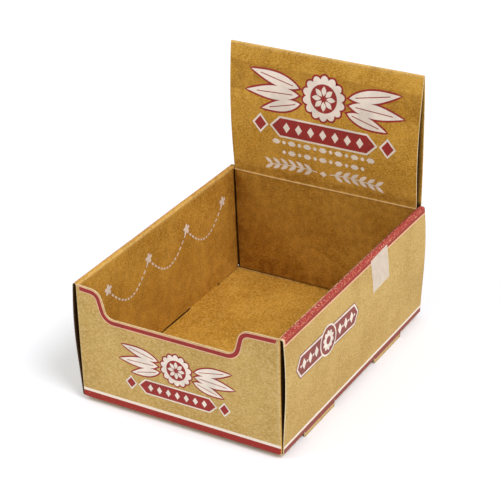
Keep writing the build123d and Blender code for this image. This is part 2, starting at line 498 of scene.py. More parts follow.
@dataclass(frozen=True)
class CutEdge:
    """Die-cut edge of the board: torn fibre ends, paler and rougher than the faces.

    The left wall's front edge is painted dark as shade, so the eye sees no pale line there.
    """

    sizes: BoxSizes
    pale: str = "#F3E0B8"
    deep: str = "#D8B987"
    # painted shade of the left wall's front edge
    shade_tone: str = "#4A3420"
    shaded_edge_end: float = -60.0     # the wall's front end lies before this place
    roughness: float = 0.9
    ior: float = 1.5
    grain: Grain = Grain(0.8, 4.0)    # real fibre ends are far finer, and are drawn coarser so as to show
    mixed: Fade = Fade(0.35, 0.65)
    relief_mm: float = 0.1
    relief_strength: float = 0.6

    def shaded_edge(self, tree: Tree, place: Link) -> Link:
        """Add a mask of the left wall's front edge, which gets painted shade.

        Args:
            tree: Node tree to add to.
            place: Place on the box, in metres.

        Returns:
            A mask that is one on that edge.
        """
        axes = add_node(tree, "ShaderNodeSeparateXYZ", {"Vector": place}).outputs
        limits = ({0: axes["X"], 1: -self.sizes.flap_face * MM}, {0: axes["Y"], 1: self.shaded_edge_end * MM})
        left, front = (add_node(tree, "ShaderNodeMath", limit, operation="LESS_THAN") for limit in limits)
        return add_node(tree, "ShaderNodeMath", {0: left, 1: front}, operation="MULTIPLY")

    def build(self) -> Material:
        """Make the finish.

        Returns:
            The material.
        """
        material, tree = new_material("kraft_board_die_cut_edge")
        place = add_node(tree, "ShaderNodeTexCoord").outputs["Object"]
        grain = add_node(tree, "ShaderNodeTexNoise", self.grain.inputs(place))
        mixed = add_node(tree, "ShaderNodeMapRange", self.mixed.inputs(grain), **SMOOTH)
        layers = [(mixed, linear(self.pale)), (self.shaded_edge(tree, place), linear(self.shade_tone))]
        inputs = {"Height": grain, "Distance": self.relief_mm * MM, "Strength": self.relief_strength}
        relief = add_node(tree, "ShaderNodeBump", inputs)
        finished(tree, {"Base Color": layered(tree, linear(self.deep), layers), "Roughness": self.roughness,
                        "IOR": self.ior, "Normal": relief})
        return material


@dataclass(frozen=True)
class FlexoInk:
    """Water-based flexographic ink on kraft: matt, slightly uneven, with pinholes where fibres stand up."""

    ink: Ink
    board: str = "#B98C4A"
    shade: float = 0.85
    roughness: float = 0.7
    ior: float = 1.5
    specular: float = 0.4
    mottle: Grain = Grain(1.4, 4.0, 0.6)
    clouds: Grain = Grain(9.0)
    clouded: Fade = Fade(0.35, 0.65)
    pinholed: Fade = Fade(0.6, 0.74, 0.02, 0.45)

    def build(self) -> Material:
        """Make the finish.

        Returns:
            The material.
        """
        material, tree = new_material(f"flexo_ink_{self.ink.name.lower()}")
        place = add_node(tree, "ShaderNodeTexCoord").outputs["Object"]
        full = linear(self.ink.value)
        deep = (*[part * self.shade for part in full[:3]], 1.0)
        layers = []
        for grain, fade, tint in ((self.clouds, self.clouded, deep),
                                  (self.mottle, self.pinholed, linear(self.board))):
            pattern = add_node(tree, "ShaderNodeTexNoise", grain.inputs(place))
            amount = add_node(tree, "ShaderNodeMapRange", fade.inputs(pattern), **SMOOTH)
            layers.append((amount, tint))
        finished(tree, {"Base Color": layered(tree, full, layers), "Roughness": self.roughness,
                        "IOR": self.ior, "Specular IOR Level": self.specular})
        return material


@dataclass(frozen=True)
class ClearTape:
    """Cast polypropylene film with acrylic adhesive: see-through, a little milky where air is trapped.

    The slit edges catch the light as paler lines, and the film is smoother than the board under it.
    """

    sizes: BoxSizes
    film: str = "#F4E4CE"
    air: Grain = Grain(3.0, 3.0)
    air_stretch: float = 0.6
    milky: Fade = Fade(0.35, 0.7, 0.52, 0.6)
    edge_mm: float = 0.9
    edge_haze: float = 0.9
    roughness: float = 0.28
    ior: float = 1.49

    def build(self) -> Material:
        """Make the finish.

        Returns:
            The material.
        """
        material, tree = new_material("polypropylene_tape_clear")
        low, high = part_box("tape")
        middle, extent = (low + high) / 2, high - low
        place = add_node(tree, "ShaderNodeTexCoord").outputs["Object"]
        inputs = {"Vector": place, "Location": middle, "Rotation": (radians(self.sizes.tape_skew), 0.0, 0.0)}
        flat = add_node(tree, "ShaderNodeMapping", inputs, vector_type="TEXTURE")
        inputs = {"Vector": flat, "Scale": (1.0, 1.0, self.air_stretch)}
        drawn = add_node(tree, "ShaderNodeMapping", inputs)
        air = add_node(tree, "ShaderNodeTexNoise", self.air.inputs(drawn))
        alpha = add_node(tree, "ShaderNodeMapRange", self.milky.inputs(air), **SMOOTH)
        axes = add_node(tree, "ShaderNodeSeparateXYZ", {"Vector": flat}).outputs
        slack = sin(radians(self.sizes.tape_skew))
        reach = ((extent.y - slack * extent.z) / 2, (extent.z - slack * extent.y) / 2)
        for axis, half in zip("YZ", reach):
            away = add_node(tree, "ShaderNodeMath", {0: axes[axis]}, operation="ABSOLUTE")
            slit = Fade(half - self.edge_mm * MM, half, 0.0, self.edge_haze)
            rim = add_node(tree, "ShaderNodeMapRange", slit.inputs(away), **SMOOTH)
            alpha = add_node(tree, "ShaderNodeMath", {0: alpha, 1: rim}, operation="MAXIMUM")
        finished(tree, {"Base Color": linear(self.film), "Alpha": alpha, "Roughness": self.roughness,
                        "IOR": self.ior})
        return material


@dataclass(frozen=True)
class Warp:
    """Slow waves that a folded sheet of board keeps from damp and handling."""

    reach_mm: float = 0.3
    wave_mm: float = 50.0
    still_mm: float = 12.0
    seeds: Place = (3.7, 11.2, 5.1)

    def moved(self, place: Vector) -> Vector:
        """Shift a point of the board, less and less towards the table.

        Args:
            place: Point in metres.

        Returns:
            The shifted point.
        """
        spot = place / (self.wave_mm * MM)
        wave = Vector([noise.noise(spot + Vector((seed, seed, seed))) for seed in self.seeds])
        return place + wave * (self.reach_mm * MM * min(1.0, place.z / (self.still_mm * MM)))


@dataclass(frozen=True)
class Mark:
    """What a fold or corner shows along it: how strongly, and how far to its sides in millimetres."""

    strength: float
    width: float = 1.3


@dataclass(frozen=True)
class Crease:
    """A fold or corner with a mark along it, from end to end in millimetres."""

    mark: Mark
    start: Place
    end: Place

    @classmethod
    def across(cls, mark: Mark, half: float, y: float, z: float) -> "Crease":
        """Give a fold that runs level from left to right."""
        return cls(mark, (-half, y, z), (half, y, z))

    @classmethod
    def along(cls, mark: Mark, x: float, half: float, z: float) -> "Crease":
        """Give a fold that runs level from front to back."""
        return cls(mark, (x, -half, z), (x, half, z))

    @classmethod
    def upright(cls, mark: Mark, x: float, y: float, low: float, high: float) -> "Crease":
        """Give a fold that stands upright."""
        return cls(mark, (x, y, low), (x, y, high))

    def rub(self, place: Vector) -> float:
        """Tell how much of the mark reaches a point.

        Args:
            place: Point in millimetres.

        Returns:
            Share from zero to the mark's strength.
        """
        run = Vector(self.end) - Vector(self.start)
        share = max(0.0, min(1.0, (place - Vector(self.start)).dot(run) / run.length_squared))
        gap = (place - Vector(self.start) - share * run).length
        return self.mark.strength * exp(-(gap / self.mark.width) ** 2)


class Face(Enum):
    """Kinds of surface on the folded sheet, in the order of its material slots."""

    PLAIN = 0
    PRINTED = 1
    CUT = 2
    HOLLOW = 3


def net(work: bmesh.types.BMesh, axis: int, places: Iterable[float]) -> None:
    """Cut a mesh along planes, without changing its form.

    Args:
        work: Mesh to cut.
        axis: Number of the axis that the planes stand across.
        places: Where the planes stand on that axis.
    """
    across = Vector([1.0 if i == axis else 0.0 for i in range(3)])
    for place in places:
        geometry = work.verts[:] + work.edges[:] + work.faces[:]
        bmesh.ops.bisect_plane(work, geom=geometry, plane_co=across * place, plane_no=across, dist=CUT_M)


def steps(low: float, high: float, pitch: float) -> list[float]:
    """Divide a stretch evenly.

    Args:
        low: Where the stretch starts.
        high: Where it ends.
        pitch: Longest step.

    Returns:
        The places between the ends.
    """
    count = max(1, ceil((high - low) / pitch))
    return [low + (high - low) * i / count for i in range(1, count)]


def shown(name: str, work: bmesh.types.BMesh, materials: Sequence[Material]) -> Piece:
    """Put a worked mesh into the scene with its finishes and let it ride on the box.

    Args:
        name: Name of the piece.
        work: Mesh of the piece, which is used up.
        materials: Finishes, in the order of the mesh's slots.

    Returns:
        The new piece.
    """
    mesh = bpy.data.meshes.new(name)
    work.to_mesh(mesh)
    work.free()
    for material in materials:
        mesh.materials.append(material)
    piece = bpy.data.objects.new(name, mesh)
    bpy.context.scene.collection.objects.link(piece)
    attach(piece, "root")
    return piece


@dataclass
class FoldedBoard:
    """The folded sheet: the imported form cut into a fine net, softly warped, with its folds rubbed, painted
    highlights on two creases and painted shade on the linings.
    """

    sizes: BoxSizes
    warp: Warp
    pitch_mm: float = 4.0
    fold_steps_mm: tuple[float, ...] = (-2.6, -1.5, -0.6, -0.25, 0.25, 0.6, 1.5, 2.6)
    sharp_degrees: float = 50.0
    edge_depth_mm: float = 1.5
    hollow_mm: float = 6.5
    slack_mm: float = 0.3
    skin_mm: float = 0.001
    floor_line_mm: float = 0.4
    floor_line_end: float = -20.0
    shade_lift_mm: float = 5.0
    # painted shade over the whole back lining
    lining_shade: float = 0.28
    foot_rub: Mark = Mark(0.5)
    flank_foot_rub: Mark = Mark(0.35)
    head_rub: Mark = Mark(0.25)
    inner_head_rub: Mark = Mark(0.3)
    front_corner_rub: Mark = Mark(0.25)
    rear_corner_rub: Mark = Mark(0.6)
    back_head_rub: Mark = Mark(0.45, 0.6)
    # painted highlight along the floor's rear crease
    floor_rear_highlight: Mark = Mark(0.5, 0.6)
    header_head_rub: Mark = Mark(0.4)
    header_front_rub: Mark = Mark(0.35)
    # painted highlight along the crease under the header
    header_foot_highlight: Mark = Mark(2.2, 0.32)
    bead_rise: Mark = Mark(0.35, 0.45)
    # painted shade along the linings' corners and feet
    back_foot_shade: Mark = Mark(0.5, 9.0)
    corner_shade: Mark = Mark(0.5, 11.0)
    left_foot_shade: Mark = Mark(0.24, 45.0)
    left_rear_shade: Mark = Mark(0.16, 45.0)

    def creases(self) -> list[Crease]:
        """List the folds that are rubbed pale, and two creases with a painted highlight.

        Returns:
            The folds.
        """
        s = self.sizes
        top_depth = s.half_depth + s.header_lean
        floor_line = (s.crease_face + self.floor_line_mm, s.floor_lift + s.board)
        line_start, line_end = (-s.lining_head, *floor_line), (self.floor_line_end, *floor_line)
        found = [Crease.across(self.foot_rub, s.flap_face, -s.half_depth, s.floor_lift),
                 Crease.across(self.foot_rub, s.flap_face, s.half_depth, s.floor_lift),
                 Crease.across(self.back_head_rub, s.flap_face, s.half_depth, s.wall_top),
                 Crease(self.floor_rear_highlight, line_start, line_end),
                 Crease.across(self.header_head_rub, s.header_half, top_depth, s.header_top),
                 Crease.across(self.header_front_rub, s.header_half, top_depth - s.fold, s.header_top),
                 Crease.across(self.header_foot_highlight, s.header_half, s.crease_face, s.crease_height)]
        for side in (-1, 1):
            corner = side * s.flap_face
            found += [Crease.along(self.flank_foot_rub, side * s.half_width, s.wall_end, s.floor_lift),
                      Crease.along(self.head_rub, side * s.wall_head, s.wall_end, s.wall_top),
                      Crease.along(self.inner_head_rub, side * s.lining_head, s.wall_end, s.wall_top),
                      Crease.upright(self.front_corner_rub, corner, -s.half_depth, s.floor_lift, s.front_top),
                      Crease.upright(self.rear_corner_rub, corner, s.half_depth, s.floor_lift, s.wall_top)]
        return found

    def shaded_corners(self) -> list[Crease]:
        """List the corners of the back's and the left wall's lining that get painted shade.

        Returns:
            The corners.
        """
        s = self.sizes
        left, foot, rear = -s.lining_head, s.floor_lift + self.shade_lift_mm, s.crease_face + s.board
        below_crease = s.crease_height - self.shade_lift_mm
        return [Crease.across(self.back_foot_shade, s.lining_head, rear, foot),
                Crease.upright(self.corner_shade, left, rear, foot, below_crease),
                Crease.upright(self.corner_shade, -left, rear, foot, below_crease),
                Crease(self.left_foot_shade, (left, -s.wall_end, foot), (left, rear, foot)),
                Crease.upright(self.left_rear_shade, left, rear, foot, s.crease_height)]

    def bead(self) -> Crease:
        """Give the bead along the crease under the header, as a mark whose strength is its height."""
        s = self.sizes
        return Crease.across(self.bead_rise, s.header_half, s.crease_face, s.crease_height)

    def on_back_lining(self, place: Vector) -> bool:
        """Tell whether a point lies on the back's lining.

        Args:
            place: Point in millimetres.

        Returns:
            Whether it does.
        """
        s = self.sizes
        behind = place.y - s.crease_face + self.slack_mm
        return abs(place.x) < s.lining_head and 0 < behind < s.fold + s.board

    def on_side_lining(self, place: Vector) -> bool:
        """Tell whether a point lies on a side's lining, above the floor.

        Args:
            place: Point in millimetres.

        Returns:
            Whether it does.
        """
        s = self.sizes
        aside = s.lining_head - s.fold < abs(place.x) < s.flap_face - self.slack_mm
        along = abs(place.y) < s.crease_face - self.slack_mm
        return aside and along and place.z > s.floor_lift + s.board + self.slack_mm

    def fold_places(self) -> tuple[list[float], list[float], list[float]]:
        """Tell where the net is drawn closer, beside the folds.

        Returns:
            Places across the width, the depth and the height, in millimetres.
        """
        s = self.sizes
        width = [-s.flap_face, -s.lining_head, s.flap_face, s.lining_head]
        depth = [-s.half_depth, s.crease_face, s.half_depth]
        return width, depth, [s.floor_lift, s.crease_height, s.wall_top]

    def face_kind(self, place: Vector, normal: Vector, depth: float, room: float) -> Face:
        """Tell what kind of surface a face of the sheet is.

        Args:
            place: Middle of the face, in millimetres.
            normal: Direction that the face looks in.
            depth: How far the board reaches behind the face, in millimetres.
            room: How far the next board stands in front of the face, in millimetres.

        Returns:
            The kind of surface.
        """
        s = self.sizes
        if depth > self.edge_depth_mm:
            return Face.CUT
        # faces in a narrow hollow take the reverse that is painted dark as shade
        if room < self.hollow_mm:
            return Face.HOLLOW
        flank = abs(place.x) > s.half_width - self.slack_mm and normal.x * place.x > 0
        ends = abs(place.y) > s.half_depth - self.slack_mm and normal.y * place.y > 0
        spine = place.x > s.lining_head - s.board and place.z > s.wall_top - s.fold and normal.z > 0
        return Face.PRINTED if flank or ends or (spine and place.y < s.crease_face) else Face.PLAIN

    def sort_faces(self, work: bmesh.types.BMesh) -> None:
        """Give each face the slot of its kind of surface.

        Args:
            work: Mesh of the sheet.
        """
        tree = BVHTree.FromBMesh(work)
        for face in work.faces:
            middle = face.calc_center_median()
            skin = face.normal * (self.skin_mm * MM)
            *_, depth = tree.ray_cast(middle - skin, -face.normal)
            *_, room = tree.ray_cast(middle + skin, face.normal)
            kind = self.face_kind(middle / MM, face.normal, (depth or 0.0) / MM, (room or OPEN_M) / MM)
            face.material_index = kind.value

    def wear_down(self, work: bmesh.types.BMesh) -> None:
        """Mark the rubbed places, the painted highlights and the painted shade, warp the sheet and raise the
        bead under the header.

        Args:
            work: Mesh of the sheet.
        """
        creases, corners, bead = self.creases(), self.shaded_corners(), self.bead()
        rub_and_highlight, painted_shade = (work.verts.layers.float.new(name) for name in ("rub_and_highlight", "painted_shade"))
        for vert in work.verts:
            place = vert.co / MM
            vert[rub_and_highlight] = max(crease.rub(place) for crease in creases)
            # painted shade over the back lining, darker in its corners, and in the side linings' corners
            if self.on_back_lining(place):
                vert[painted_shade] = max(self.lining_shade, *[corner.rub(place) for corner in corners])
            elif self.on_side_lining(place):
                vert[painted_shade] = max(corner.rub(place) for corner in corners)
            vert.co = self.warp.moved(vert.co)
            vert.co.y -= bead.rub(place) * MM

    def build(self) -> Piece:
        """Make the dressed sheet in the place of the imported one.

        Returns:
            The piece.
        """
        work = bmesh.new()
        work.from_mesh(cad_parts["folded_board"].data)
        bmesh.ops.remove_doubles(work, verts=work.verts, dist=WELD_M)
        bmesh.ops.recalc_face_normals(work, faces=work.faces)
        self.sort_faces(work)
        low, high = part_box("folded_board")
        for axis, folds in enumerate(self.fold_places()):
            beside = [(place + away) * MM for place in folds for away in self.fold_steps_mm]
            net(work, axis, steps(low[axis], high[axis], self.pitch_mm * MM) + beside)
        self.wear_down(work)
        finishes = [INNER_BOARD.plain(), PrintedBoard(self.sizes, OUTER_BOARD).build(),
                    CutEdge(self.sizes).build(), PaintedShadeReverse(self.sizes, PAINTED_SHADE_BOARD, INNER_BOARD).build()]
        piece = shown("folded_board_dressed", work, finishes)
        piece.data.shade_smooth()
        piece.data.set_sharp_from_angle(angle=radians(self.sharp_degrees))
        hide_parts("folded_board")
        return piece


@dataclass
class TapePiece:
    """The cut piece of clear tape on the right wall, warped with the wall."""

    sizes: BoxSizes
    warp: Warp
    pitch_mm: float = 4.0

    def build(self) -> Piece:
        """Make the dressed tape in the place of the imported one.

        Returns:
            The piece.
        """
        work = bmesh.new()
        work.from_mesh(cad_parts["tape"].data)
        bmesh.ops.remove_doubles(work, verts=work.verts, dist=WELD_M)
        low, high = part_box("tape")
        for axis in (1, 2):
            net(work, axis, steps(low[axis], high[axis], self.pitch_mm * MM))
        for vert in work.verts:
            vert.co = self.warp.moved(vert.co)
        piece = shown("tape_dressed", work, [ClearTape(self.sizes).build()])
        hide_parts("tape")
        return piece


def disc(centre: Point, radius: float) -> Outline:
    """Outline of a disc."""
    angles = [tau * i / DISC_STEPS for i in range(DISC_STEPS)]
    return polygon(centre, [(radius * cos(a), radius * sin(a)) for a in angles])


def rosette(centre: Point, radius: float, petals: int, depth: float) -> Outline:
    """Outline of a disc with a scalloped edge.

    Args:
        centre: Middle of the rosette.
        radius: Reach of the petals.
        petals: Number of petals.
        depth: How far the notches between petals go in.

    Returns:
        The outline.
    """
    count = petals * PETAL_STEPS
    angles = [tau * i / count for i in range(count)]
    reach = [radius - depth * (1 - abs(cos(petals * a / 2)) ** PETAL_POWER) for a in angles]
    return polygon(centre, [(r * cos(a + pi / 2), r * sin(a + pi / 2)) for r, a in zip(reach, angles)])


def leaf(base: Point, length: float, width: float, tilt: float, belly: float = 1.0) -> Outline:
    """Outline of a pointed leaf.

    Args:
        base: Where the leaf starts.
        length: From base to tip.
        width: Across its widest place.
        tilt: Direction of the tip, in degrees from level.
        belly: Above one moves the widest place to the tip, below one to the base.

    Returns:
        The outline.
    """
    turn = radians(tilt)
    shares = [i / LEAF_STEPS for i in range(LEAF_STEPS + 1)]
    half = [(s * length, width / 2 * sin(pi * s ** belly)) for s in shares]
    loop = [(x, -y) for x, y in half] + half[-2:0:-1]
    return polygon(base, [(x * cos(turn) - y * sin(turn), x * sin(turn) + y * cos(turn)) for x, y in loop])


def facing(side: int, tilt: float) -> float:
    """Direction in degrees, mirrored where side is minus one."""
    return tilt if side > 0 else 180 - tilt


def polygon(centre: Point, corners: Sequence[Point]) -> Outline:
    """Outline through corners given from a middle."""
    return [(centre[0] + x, centre[1] + y) for x, y in corners]


def diamond(centre: Point, width: float, height: float) -> Outline:
    """Outline of a diamond."""
    return polygon(centre, [(0, -height / 2), (width / 2, 0), (0, height / 2), (-width / 2, 0)])


def plaque(centre: Point, width: float, height: float, point: float) -> Outline:
    """Outline of a bar with pointed ends."""
    x, y, flat = width / 2, height / 2, width / 2 - point
    return polygon(centre, [(-x, 0), (-flat, -y), (flat, -y), (x, 0), (flat, y), (-flat, y)])


def normals(path: Sequence[Point], closed: bool) -> list[Point]:
    """Mitred directions to the left of a line.

    Args:
        path: Points of the line.
        closed: Whether the last point leads to the first.

    Returns:
        For each point the step that keeps a unit distance from the line.
    """
    count = len(path)
    lefts = []
    for i in range(count if closed else count - 1):
        (ax, ay), (bx, by) = path[i], path[(i + 1) % count]
        length = hypot(bx - ax, by - ay)
        lefts.append(((ay - by) / length, (bx - ax) / length))
    if closed:
        pairs = [(lefts[i - 1], lefts[i]) for i in range(count)]
    else:
        pairs = list(zip(lefts[:1] + lefts, lefts + lefts[-1:]))
    found = []
    for before, after in pairs:
        scale = 1 / max(MITRE_LEAST, 1 + before[0] * after[0] + before[1] * after[1])
        found.append(((before[0] + after[0]) * scale, (before[1] + after[1]) * scale))
    return found


def grown(outline: Outline, by: float) -> Outline:
    """Outline set out all round by a distance."""
    return [(x - by * nx, y - by * ny) for (x, y), (nx, ny) in zip(outline, normals(outline, True))]


def stroke(path: Sequence[Point], near: float, far: float) -> Outline:
    """Strip beside a line.

    Args:
        path: Points of the line.
        near: Distance of the strip's first edge to the left of the line.
        far: Distance of its second edge.

    Returns:
        Outline of the strip.
    """
    lefts = normals(path, False)
    first, second = ([(x + by * nx, y + by * ny) for (x, y), (nx, ny) in zip(path, lefts)]
                     for by in (near, far))
    return first + second[::-1]


def rounded(corners: Sequence[Point], radii: Sequence[float]) -> Outline:
    """Open line through corners, with arcs in the places of the inner ones.

    Args:
        corners: Ends and corners of the line.
        radii: Radius at each inner corner.

    Returns:
        Points of the line.
    """
    line = [corners[0]]
    for before, corner, after, radius in zip(corners, corners[1:], corners[2:], radii):
        run_in = (Vector(before) - Vector(corner)).normalized()
        run_out = (Vector(after) - Vector(corner)).normalized()
        half = run_in.angle(run_out) / 2
        middle = Vector(corner) + (run_in + run_out).normalized() * (radius / sin(half))
        cut_back = radius * cos(half) / sin(half)
        first = Vector(corner) + run_in * cut_back - middle
        turn = first.angle_signed(Vector(corner) + run_out * cut_back - middle)
        for i in range(CORNER_STEPS + 1):
            swing = Matrix.Rotation(-turn * i / CORNER_STEPS, 2) @ first
            line.append(tuple(middle + swing))
    return line + [corners[-1]]


@dataclass(frozen=True)
class Panel:
    """A face of the box that takes print, with its own right and up as its viewer sees them."""

    name: str
    start: Place
    right: Place
    into: Place
    reach: float

    def land(self, board: BVHTree, across: float, height: float, lift: float) -> Vector:
        """Find the place of a print's point on the board.

        Args:
            board: Surface of the dressed board.
            across: Distance to the right, in millimetres.
            height: Height above the table, in millimetres.
            lift: Distance off the board, in millimetres.

        Returns:
            The point, in metres.
        """
        into = Vector(self.into)
        origin = Vector(self.start) + Vector(self.right) * across + Vector((0.0, 0.0, height))
        hit, *_ = board.ray_cast(origin * MM, into, self.reach * MM)
        if hit is None:
            raise ValueError(f"print on {self.name} misses the board at {across:.1f}, {height:.1f}")
        return hit - into * (lift * MM)


@dataclass
class Artwork:
    """A printed design: outlines in inks, laid on a panel one over the other and following its bow."""

    panel: Panel
    pitch_mm: float = 3.0
    ground_mm: float = 0.05
    layer_mm: float = 0.03
    shapes: dict[Ink, list[tuple[int, Outline]]] = field(default_factory=dict)

    def put(self, ink: Ink, layer: int, outline: Outline) -> None:
        """Add an outline to the design.

        Args:
            ink: Ink that fills it.
            layer: How many layers of ink lie under it.
            outline: The outline, in millimetres on the panel.
        """
        self.shapes.setdefault(ink, []).append((layer, outline))

    def build(self, board: BVHTree, inks: dict[Ink, Material]) -> list[Piece]:
        """Print the design.

        Args:
            board: Surface of the dressed board.
            inks: Finish of each ink.

        Returns:
            One piece for each ink.
        """
        pieces = []
        for ink, shapes in self.shapes.items():
            work = bmesh.new()
            for layer, outline in shapes:
                lift = self.ground_mm + self.layer_mm * layer
                area = sum(a[0] * b[1] - b[0] * a[1] for a, b in zip(outline, outline[1:] + outline[:1]))
                loop = outline if area > 0 else outline[::-1]
                work.faces.new([work.verts.new((x, y, lift)) for x, y in loop])
            work.normal_update()
            bmesh.ops.triangulate(work, faces=work.faces)
            for axis in range(2):
                places = [vert.co[axis] for vert in work.verts]
                net(work, axis, steps(min(places), max(places), self.pitch_mm))
            for vert in work.verts:
                vert.co = self.panel.land(board, *vert.co)
            piece = shown(f"print_{self.panel.name}_{ink.name.lower()}", work, [inks[ink]])
            piece.data.shade_smooth()
            pieces.append(piece)
        return pieces


@dataclass(frozen=True)
class Border:
    """A red border between pale lines that follows the front's dipped edge."""

    sizes: BoxSizes
    inks: tuple[Ink, ...] = (Ink.BLUSH, Ink.RED, Ink.BLUSH)
    edges: tuple[float, ...] = (0.45, 0.9, 3.1, 3.6)

    def draw(self, art: Artwork) -> None:
        """Draw the border.

        Args:
            art: Design to add to.
        """
        s = self.sizes
        left, right = s.dip_offset - s.dip_width / 2, s.dip_offset + s.dip_width / 2
        run, ear, end = s.dip_slope_run / 2, s.front_top - s.ear_fall, s.flap_face - s.board
        corners = [(-end, s.front_top), (left - run, ear), (left + run, s.sill), (right - run, s.sill),
                   (right + run, ear), (end, s.front_top)]
        line = rounded(corners, (s.ear_radius, s.sill_radius, s.sill_radius, s.ear_radius))
        for ink, near, far in zip(self.inks, self.edges, self.edges[1:]):
            art.put(ink, 0, stroke(line, -near, -far))


@dataclass(frozen=True)
class Blade:
    """A leaf of a fan: where it starts from the rosette's middle, its length and width, and its tilt."""

    x: float
    y: float
    length: float
    width: float
    tilt: float


@dataclass(frozen=True)
class Sunburst:
    """A scalloped rosette between fans of leaves, over a pointed bar with a diamond at both ends.

    The lengths are the header's own, in millimetres, and the scale brings them to another panel.
    """

    middle: Point
    scale: float = 1.0
    line: float = 1.1
    radius: float = 13.0
    petals: int = 14
    notch: float = 2.2
    eye_radius: float = 8.2
    star_leaves: int = 8
    star_start: float = 1.6
    star_leaf: Point = (5.6, 2.9)
    fan: tuple[Blade, ...] = (Blade(15.5, 3.2, 31.0, 7.2, 12.0), Blade(15.5, -1.0, 33.0, 8.0, -3.0),
                              Blade(14.5, -5.6, 25.0, 6.6, -15.0))
    belly: float = 0.8
    vein_shares: Point = (0.12, 0.8)
    vein_half: float = 0.25
    bar_drop: float = 21.2
    bar_size: Place = (64.0, 10.4, 5.2)
    lozenges_aside: int = 3
    lozenge_pitch: float = 7.6
    lozenge_size: Point = (4.4, 6.2)
    gem_away: float = 39.5
    gem_size: Point = (7.4, 8.6)

    def at(self, x: float, y: float) -> Point:
        """Give a place in the motif, from the middle of its rosette."""
        return self.middle[0] + self.scale * x, self.middle[1] + self.scale * y

    def sized(self, *lengths: float) -> list[float]:
        """Bring lengths to the motif's scale."""
        return [length * self.scale for length in lengths]

    def draw(self, art: Artwork) -> None:
        """Draw the rosette, the fans and the bar.

        Args:
            art: Design to add to.
        """
        line, radius, notch, eye_radius = self.sized(self.line, self.radius, self.notch, self.eye_radius)
        petals = rosette(self.middle, radius, self.petals, notch)
        art.put(Ink.RED, 0, grown(petals, line))
        art.put(Ink.CREAM, 1, petals)
        art.put(Ink.RED, 2, disc(self.middle, eye_radius))
        for i in range(self.star_leaves):
            turn = tau * i / self.star_leaves
            start = self.at(self.star_start * cos(turn), self.star_start * sin(turn))
            art.put(Ink.CREAM, 3, leaf(start, *self.sized(*self.star_leaf), degrees(turn)))
        for side in (-1, 1):
            for blade in self.fan:
                self.draw_blade(art, blade, side)
        bar = plaque(self.at(0, -self.bar_drop), *self.sized(*self.bar_size))
        art.put(Ink.CREAM, 0, grown(bar, line))
        art.put(Ink.RED, 1, bar)
        for step in range(-self.lozenges_aside, self.lozenges_aside + 1):
            spot = self.at(self.lozenge_pitch * step, -self.bar_drop)
            art.put(Ink.CREAM, 2, diamond(spot, *self.sized(*self.lozenge_size)))
        for side in (-1, 1):
            gem = diamond(self.at(side * self.gem_away, -self.bar_drop), *self.sized(*self.gem_size))
            art.put(Ink.CREAM, 0, grown(gem, line))
            art.put(Ink.RED, 1, gem)

    def draw_blade(self, art: Artwork, blade: Blade, side: int) -> None:
        """Draw a leaf of a fan with its outline and vein.

        Args:
            art: Design to add to.
            blade: The leaf.
            side: One for the right fan, minus one for the left.
        """
        line, length, width, half = self.sized(self.line, blade.length, blade.width, self.vein_half)
        rise = radians(blade.tilt)
        shape = leaf(self.at(side * blade.x, blade.y), length, width, facing(side, blade.tilt), self.belly)
        away = [blade.length * share for share in self.vein_shares]
        vein = [self.at(side * (blade.x + far * cos(rise)), blade.y + far * sin(rise)) for far in away]
        art.put(Ink.RED, 0, grown(shape, line))
        art.put(Ink.CREAM, 1, shape)
        art.put(Ink.RED, 2, stroke(vein, -half, half))


@dataclass(frozen=True)
class Beads:
    """Rows of long and round beads by turns, each row with its height and number of beads."""

    middle: float
    rows: tuple[tuple[float, int], ...] = ((91.6, 13), (85.6, 11))
    pitch: float = 4.9
    round_radius: float = 1.1
    long_size: Place = (5.2, 2.9, 1.45)

    def draw(self, art: Artwork) -> None:
        """Draw the rows.

        Args:
            art: Design to add to.
        """
        for row, (height, count) in enumerate(self.rows):
            for i in range(count):
                spot = (self.middle + self.pitch * (i - (count - 1) / 2), height)
                bead = disc(spot, self.round_radius) if (i + row) % 2 else plaque(spot, *self.long_size)
                art.put(Ink.CREAM, 0, bead)


@dataclass(frozen=True)
class Sprigs:
    """Two leafy sprigs that run out from a diamond, with steps and leaves by their distance from it."""

    middle: Point
    gem_size: Point = (4.6, 3.6)
    vine: range = range(4, 36, 2)
    feet: range = range(7, 33, 5)
    wave: float = 1.1
    wave_run: float = 30.0
    vine_half: float = 0.3
    leaf_size: Point = (6.2, 2.2)
    leaf_tilt: float = 34.0

    def at(self, side: int, away: float) -> Point:
        """Give a place on a sprig."""
        return self.middle[0] + side * away, self.middle[1] + self.wave * sin(away / self.wave_run * pi)

    def draw(self, art: Artwork) -> None:
        """Draw the diamond and both sprigs.

        Args:
            art: Design to add to.
        """
        art.put(Ink.CREAM, 0, diamond(self.middle, *self.gem_size))
        for side in (-1, 1):
            vine = [self.at(side, away) for away in self.vine]
            art.put(Ink.CREAM, 0, stroke(vine, -self.vine_half, self.vine_half))
            for away in self.feet:
                for tilt in (-self.leaf_tilt, self.leaf_tilt):
                    art.put(Ink.CREAM, 0, leaf(self.at(side, away), *self.leaf_size, facing(side, tilt)))


